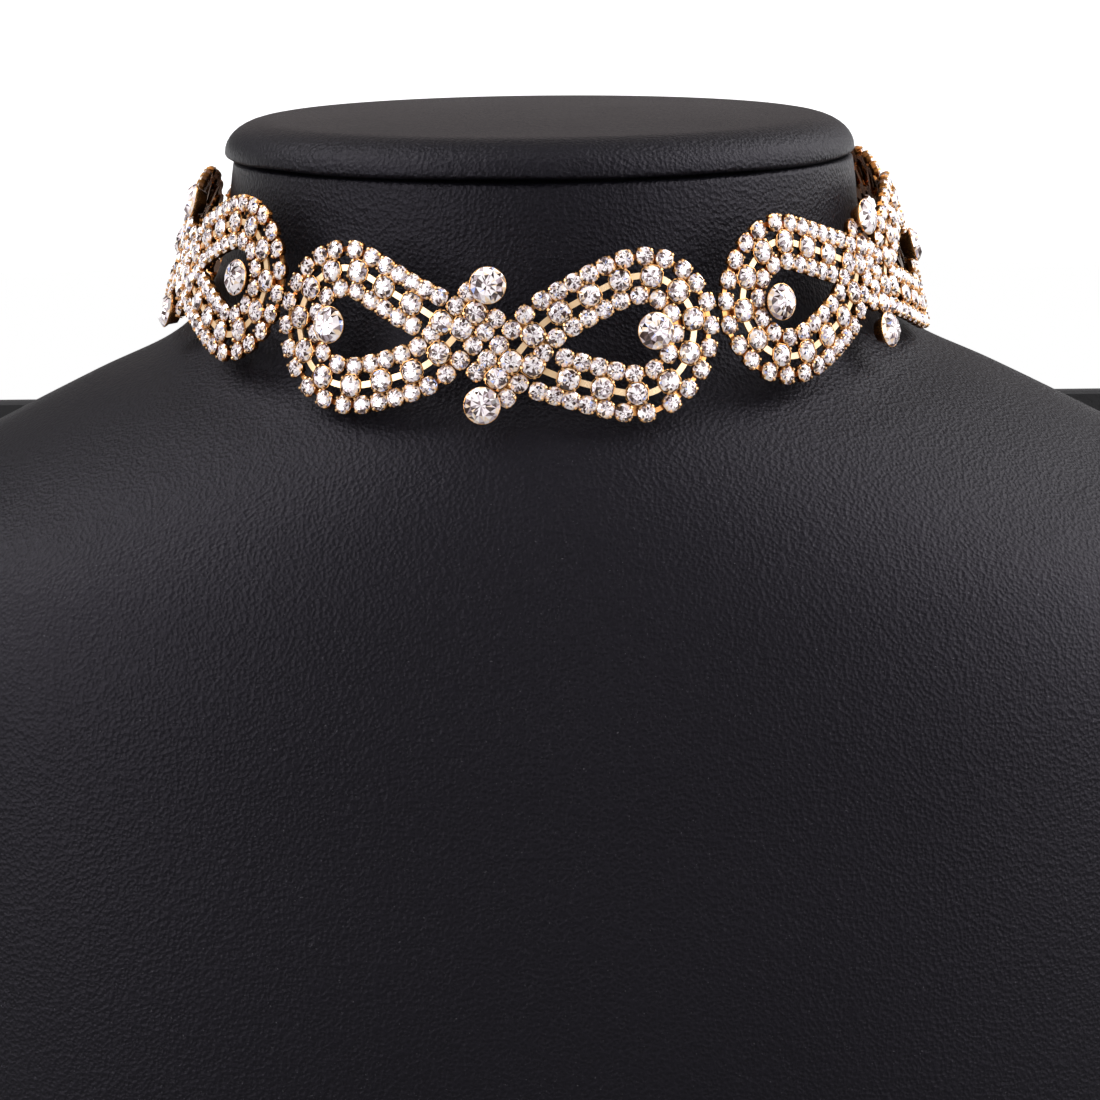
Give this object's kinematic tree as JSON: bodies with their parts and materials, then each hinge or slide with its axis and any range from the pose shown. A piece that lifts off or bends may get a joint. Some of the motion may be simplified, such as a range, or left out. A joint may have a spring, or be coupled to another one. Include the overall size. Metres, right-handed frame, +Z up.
{
  "type": "choker necklace on a neck bust",
  "caption": "Rhinestone choker of interlaced figure-eight motifs in three-row cup chain, closed round the neck of a padded leatherette display bust.",
  "frame": {"origin": "middle of the bounding box on the plane that the bust stands on", "axes": "+Z up, -Y the front of the bust, +X to the right as seen from the front"},
  "size_m": [0.232, 0.1396, 0.2073],
  "materials": {
    "leatherette": "fine pebbled black leatherette",
    "board": "matte black covered board",
    "gold": "polished pale gold plating",
    "crystal": "clear foil-backed cut crystal"
  },
  "bodies": {
    "root": {"bust_form": "leatherette", "bust_cap": "leatherette", "back_board": "board", "front_band_a": "gold", "front_stone_top": "crystal", "front_stone_inner_a": "crystal", "front_band_b": "gold", "front_stone_bottom": "crystal", "front_stone_inner_b": "crystal", "left_band_a": "gold", "left_stone_top": "crystal", "left_stone_inner_a": "crystal", "left_band_b": "gold", "left_stone_bottom": "crystal", "left_stone_inner_b": "crystal", "right_band_a": "gold", "right_stone_top": "crystal", "right_stone_inner_a": "crystal", "right_band_b": "gold", "right_stone_bottom": "crystal", "right_stone_inner_b": "crystal", "back_left_band_a": "gold", "back_left_stone_top": "crystal", "back_left_stone_inner_a": "crystal", "back_left_band_b": "gold", "back_left_stone_bottom": "crystal", "back_left_stone_inner_b": "crystal", "back_right_band_a": "gold", "back_right_stone_top": "crystal", "back_right_stone_inner_a": "crystal", "back_right_band_b": "gold", "back_right_stone_bottom": "crystal", "back_right_stone_inner_b": "crystal", "clasp_ring_left": "gold", "clasp_ring_right": "gold", "clasp": "gold"}
  },
  "joints": []
}
